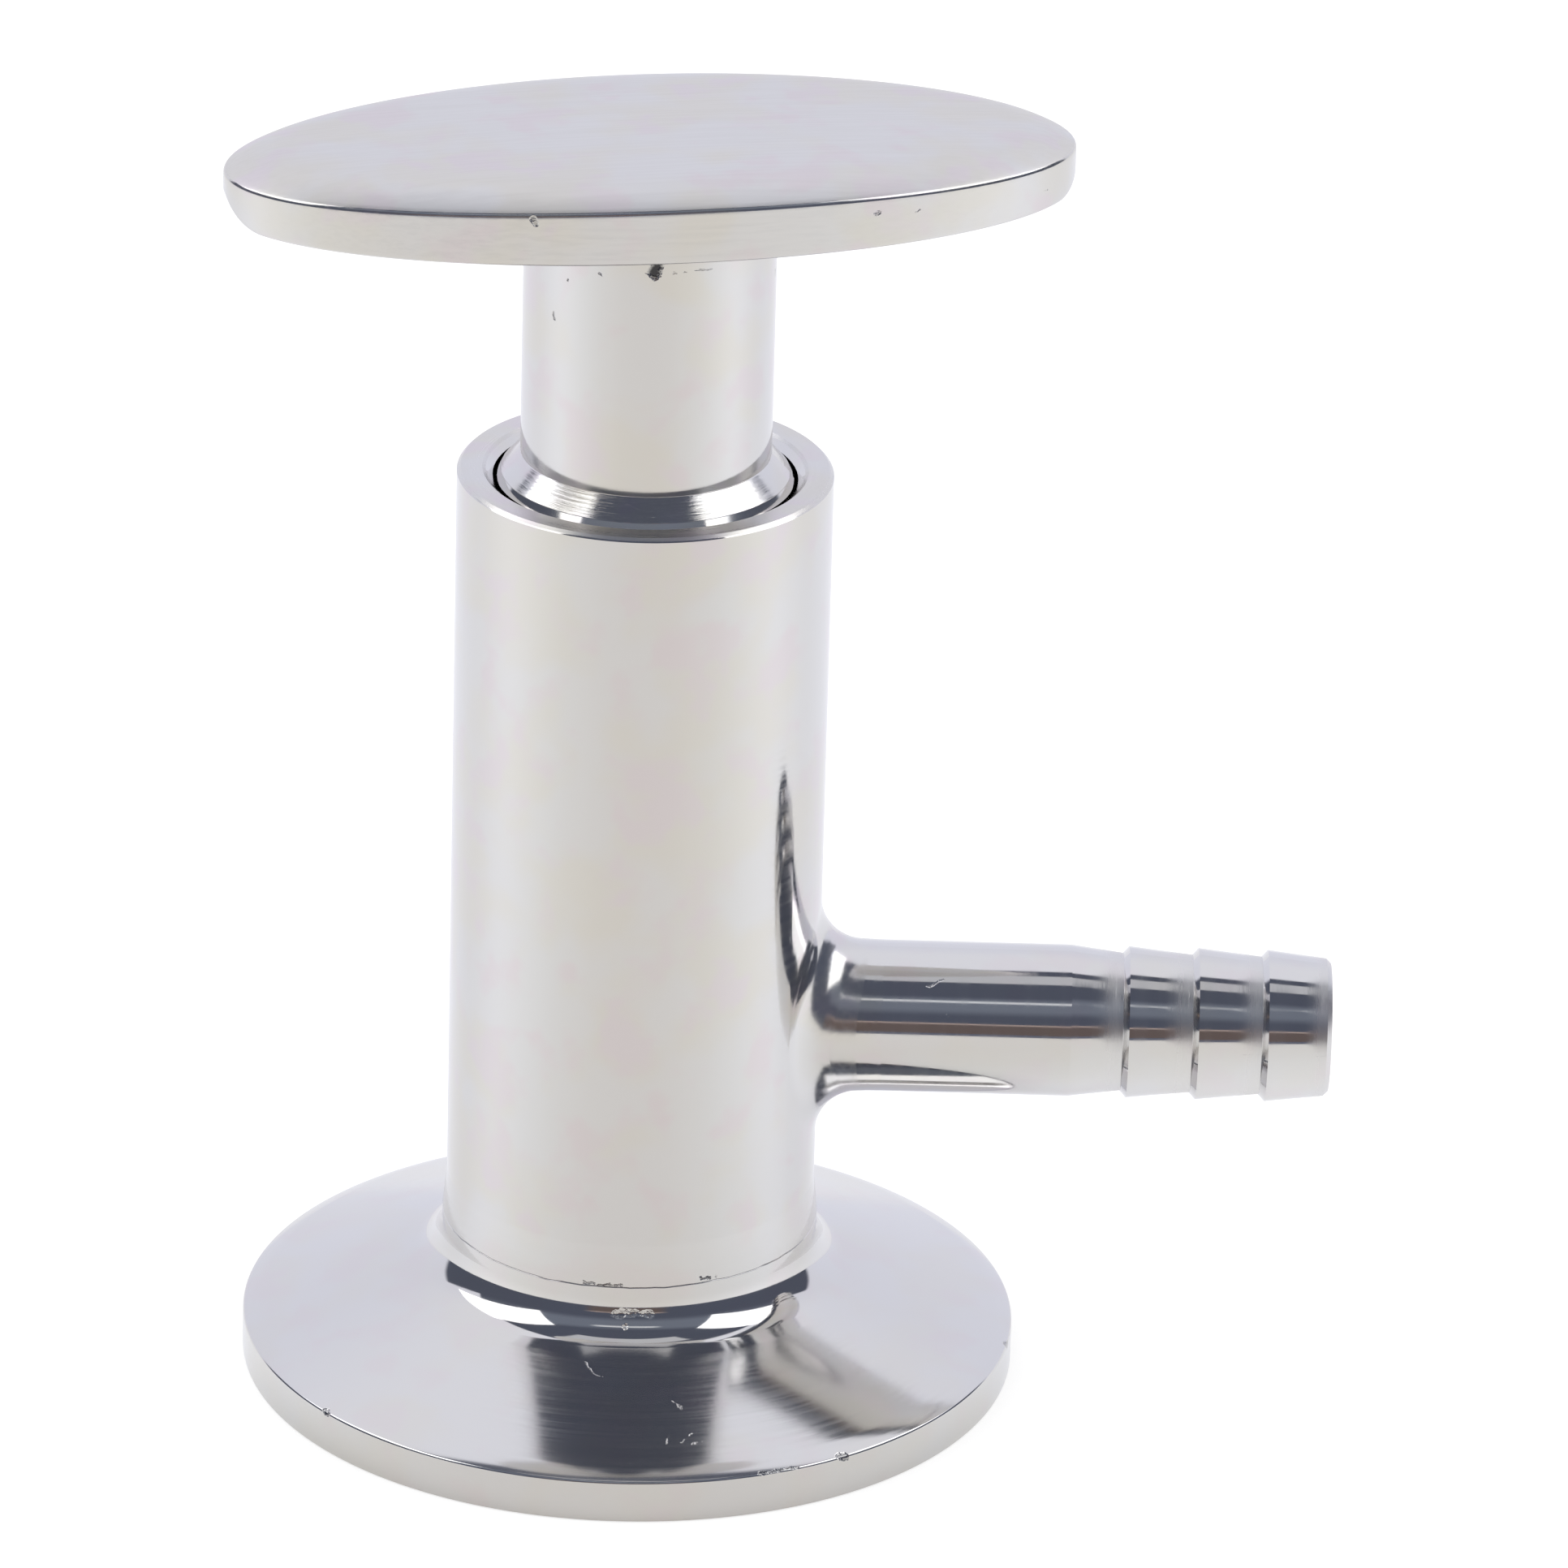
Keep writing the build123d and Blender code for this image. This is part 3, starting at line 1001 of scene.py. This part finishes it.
@dataclass(frozen=True)
class Room:
    """What polished steel reflects: a pale backdrop, and a dark room round and above the camera.

    Slopes are heights for each unit of distance, and spreads are distances for each unit of
    height, as seen from the valve. Facing is 1 towards the camera's side and -1 away from it.
    """

    backdrop_low: Colour = (0.90, 0.915, 1.03)
    backdrop_high: Colour = (0.98, 0.99, 1.07)
    dark: Colour = (0.1, 0.112, 0.155)
    dusk: Colour = (0.2, 0.225, 0.285)
    overhead: Colour = (0.63, 0.64, 0.68)
    bands: tuple[Band, ...] = (
        Band(1.04, 1.16, (0.8, 0.83, 0.88)),
        Band(-0.2, 0.23, (0.16, 0.125, 0.12)),
        Band(0.235, 0.265, (0.6, 0.47, 0.42)),
    )
    band_facing: tuple[float, float] = (0.9, 0.96)
    dusk_rise: tuple[float, float] = (0.45, 0.75)
    dusk_fall: tuple[float, float] = (1.1, 1.5)
    backdrop_heights: tuple[float, float] = (0.45, 0.8)
    backdrop_spread: float = 0.22
    overhead_side: float = 0.28
    overhead_front: float = -0.2
    overhead_back: float = 0.06
    low_top: float = 0.46
    low_reach: float = -0.57
    reach_edge: float = 0.03
    edge: float = 0.012
    least: float = 0.001

    def between(self, nodes: Nodes, value: Any, low: float, high: float) -> Socket:
        """Mark where a value lies between two limits, with soft ends.

        Args:
            nodes: the tree being built.
            value: the value.
            low: the lower limit.
            high: the upper limit.

        Returns:
            1 between the limits, 0 elsewhere.
        """
        rise = nodes.remap(value, low - self.edge, low + self.edge)
        fall = nodes.remap(value, high - self.edge, high + self.edge, 1.0, 0.0)
        return nodes.maths("MULTIPLY", rise, fall)

    def night(self, nodes: Nodes, slope: Socket, facing: Socket, side: Socket, back: Socket) -> Socket:
        """Colour the dark part of the room, with its overhead card and its strips.

        Args:
            nodes: the tree being built.
            slope: the direction's slope.
            facing: how far it faces the camera's side.
            side: its spread to the side.
            back: its spread to the back.

        Returns:
            The colour.
        """
        night = nodes.mix(nodes.remap(slope, *self.dusk_rise), self.dark, self.dusk)
        night = nodes.mix(nodes.remap(slope, *self.dusk_fall), night, self.dark)
        card = nodes.maths("MULTIPLY", self.between(nodes, side, -self.overhead_side, self.overhead_side),
                           self.between(nodes, back, self.overhead_front, self.overhead_back))
        night = nodes.mix(card, night, self.overhead)
        ahead = nodes.remap(facing, *self.band_facing)
        for band in self.bands:
            strip = nodes.maths("MULTIPLY", self.between(nodes, slope, band.low, band.top), ahead)
            night = nodes.mix(strip, night, band.shade)
        return night

    def build(self) -> None:
        """Make the world: white to the camera and to soft light, the room to polished steel."""
        world = bpy.data.worlds.new("white_tent")
        bpy.context.scene.world = world
        world.use_nodes = True
        nodes = Nodes(world.node_tree)
        direction = nodes.add("TexCoord").outputs["Generated"]
        x, y, z = nodes.add("SeparateXYZ", None, Vector=direction).outputs
        flat = nodes.maths("SQRT", nodes.maths("MULTIPLY_ADD", x, x, nodes.maths("MULTIPLY", y, y)))
        flat = nodes.maths("MAXIMUM", flat, self.least)
        high = nodes.maths("MAXIMUM", z, self.least)
        slope = nodes.maths("DIVIDE", z, flat)
        facing = nodes.maths("DIVIDE", nodes.maths("MULTIPLY", y, -1.0), flat)
        side = nodes.maths("DIVIDE", x, high)
        back = nodes.maths("DIVIDE", y, high)
        night = self.night(nodes, slope, facing, side, back)
        colour = nodes.mix(nodes.remap(z, *self.backdrop_heights), self.backdrop_low, self.backdrop_high)
        soft = 2 * self.edge
        front = nodes.remap(back, self.backdrop_spread - soft, self.backdrop_spread + soft, 1.0, 0.0)
        under = nodes.remap(slope, self.low_top, self.low_top + 3 * self.edge, 1.0, 0.0)
        round_side = nodes.remap(facing, self.low_reach - self.reach_edge, self.low_reach + self.reach_edge)
        low_wall = nodes.maths("MULTIPLY", under, round_side)
        colour = nodes.mix(nodes.maths("MAXIMUM", front, low_wall), colour, night)
        seen = nodes.add("LightPath").outputs["Is Glossy Ray"]
        sky = nodes.add("Background", None, Color=nodes.mix(seen, (1.0, 1.0, 1.0), colour), Strength=1.0)
        nodes.add("OutputWorld", None, Surface=sky.outputs[0])


@dataclass(frozen=True)
class SoftBox:
    """A rectangular soft box that stands upright beside the valve and faces it."""

    name: str
    bearing: float
    distance: float = 0.8
    middle: float = 0.9
    width: float = 0.96
    height: float = 0.767
    radiance: float = 1.75

    def build(self) -> None:
        """Hang the soft box. Its bearing is in degrees from the camera side towards the spout."""
        light = bpy.data.lights.new(self.name, "AREA")
        light.shape = "RECTANGLE"
        light.size = self.width
        light.size_y = self.height
        light.energy = self.radiance * math.pi * self.width * self.height
        turn = math.radians(self.bearing)
        aim = Vector((-math.sin(turn), math.cos(turn), 0))
        place = Vector((0, 0, self.middle)) - aim * self.distance
        lamp = bpy.data.objects.new(self.name, light)
        lamp.matrix_world = Matrix.Translation(place) @ aim.to_track_quat("-Z", "Y").to_matrix().to_4x4()
        bpy.context.scene.collection.objects.link(lamp)


@dataclass(frozen=True)
class Floor:
    """A pale floor, white to the camera, which steel sees warmer in front and brighter beside the valve.

    The ring gives the colours that steel sees round the valve, from straight behind it (0) to
    straight in front (1). In front of the floor's edge steel sees a darker cloth.
    """

    size: float = 6.0
    drop: float = 2e-5
    glow: float = 0.58
    cloth: float = 0.5
    front_edge: float = -0.36
    edge_blur: float = 0.004
    least: float = 0.001
    dark: Colour = (0.0, 0.0, 0.0)
    front_cloth: Colour = (0.14, 0.15, 0.2)
    ring: tuple[tuple[float, Colour], ...] = (
        (0.0, (0.36, 0.37, 0.44)),
        (0.15, (0.38, 0.39, 0.45)),
        (0.32, (0.38, 0.385, 0.42)),
        (0.50, (0.51, 0.52, 0.565)),
        (0.64, (0.485, 0.49, 0.51)),
        (0.80, (0.365, 0.368, 0.368)),
        (0.93, (0.305, 0.288, 0.268)),
        (1.0, (0.272, 0.25, 0.23)),
    )

    def ring_colour(self, nodes: Nodes, x: Socket, y: Socket) -> Socket:
        """Colour the floor round the valve by its bearing.

        Args:
            nodes: the tree being built.
            x: the place along the spout.
            y: the place away from the camera.

        Returns:
            The colour.
        """
        reach = nodes.maths("SQRT", nodes.maths("MULTIPLY_ADD", x, x, nodes.maths("MULTIPLY", y, y)))
        facing = nodes.maths("DIVIDE", y, nodes.maths("MAXIMUM", reach, self.least))
        ramp = nodes.add("ValToRGB", None, Fac=nodes.maths("MULTIPLY_ADD", facing, -0.5, 0.5))
        ramp.color_ramp.interpolation = "B_SPLINE"
        stops = ramp.color_ramp.elements
        stops.remove(stops[1])
        stops[0].position = self.ring[0][0]
        stops[0].color = (*self.ring[0][1], 1.0)
        for place, colour in self.ring[1:]:
            stops.new(place).color = (*colour, 1.0)
        return ramp.outputs["Color"]

    def material(self) -> bpy.types.Material:
        """Build the floor's material.

        Returns:
            The new material.
        """
        pale = bpy.data.materials.new("floor_white")
        pale.use_nodes = True
        nodes = Nodes(pale.node_tree)
        x, y, _ = nodes.add("SeparateXYZ", None, Vector=nodes.add("TexCoord").outputs["Object"]).outputs
        edge = nodes.remap(y, self.front_edge - self.edge_blur, self.front_edge + self.edge_blur)
        ring = nodes.mix(edge, self.dark, self.ring_colour(nodes, x, y))
        seen = nodes.add("LightPath").outputs["Is Glossy Ray"]
        glow = nodes.add("Emission", None, Color=nodes.mix(seen, (self.glow,) * 3, ring), Strength=1.0)
        shade = nodes.maths("MULTIPLY", seen, nodes.maths("SUBTRACT", 1.0, edge))
        cloth = nodes.add("BsdfDiffuse", None, Color=nodes.mix(shade, (self.cloth,) * 3, self.front_cloth))
        both = nodes.add("AddShader", None, i0=cloth.outputs[0], i1=glow.outputs[0])
        nodes.add("OutputMaterial", None, Surface=both.outputs[0])
        return pale

    def build(self) -> None:
        """Lay the floor, which keeps a faint shadow."""
        mesh = bmesh.new()
        bmesh.ops.create_grid(mesh, x_segments=1, y_segments=1, size=self.size / 2)
        bmesh.ops.translate(mesh, verts=mesh.verts, vec=(0, 0, -self.drop))
        as_object("floor", mesh, self.material())


@dataclass(frozen=True)
class Studio:
    """The floor, the room, two soft boxes and the camera."""

    camera_place: Point = (0.009339, -0.63001, 0.31736)
    camera_fall: float = math.radians(23.718)
    camera_roll: float = math.radians(1.582)
    camera_lens: float = 245.57
    sensor: float = 36.0
    boxes: tuple[SoftBox, ...] = (
        SoftBox("soft_box_right", 84.0),
        SoftBox("soft_box_left", -84.0),
    )

    def camera(self) -> None:
        """Create the camera at the viewing angle and make it the scene's."""
        data = bpy.data.cameras.new("camera")
        data.lens = self.camera_lens
        data.sensor_width = self.sensor
        camera = bpy.data.objects.new("camera", data)
        tilt = Matrix.Rotation(math.pi / 2 - self.camera_fall, 4, "X")
        roll = Matrix.Rotation(self.camera_roll, 4, "Z")
        camera.matrix_world = Matrix.Translation(self.camera_place) @ tilt @ roll
        bpy.context.scene.collection.objects.link(camera)
        bpy.context.scene.camera = camera

    def build(self) -> None:
        """Set up the whole studio."""
        Floor().build()
        Room().build()
        for box in self.boxes:
            box.build()
        self.camera()
        bpy.context.scene.view_settings.view_transform = "Standard"


def main() -> None:
    """Build the studio, the valve's body and its stem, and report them."""
    logging.basicConfig(level=logging.INFO, format="%(message)s")
    for unit in (Studio(), ValveBody(), StemUnit()):
        unit.build()
        LOG.info("finished %s", type(unit).__name__)


if __name__ == "__main__":
    main()
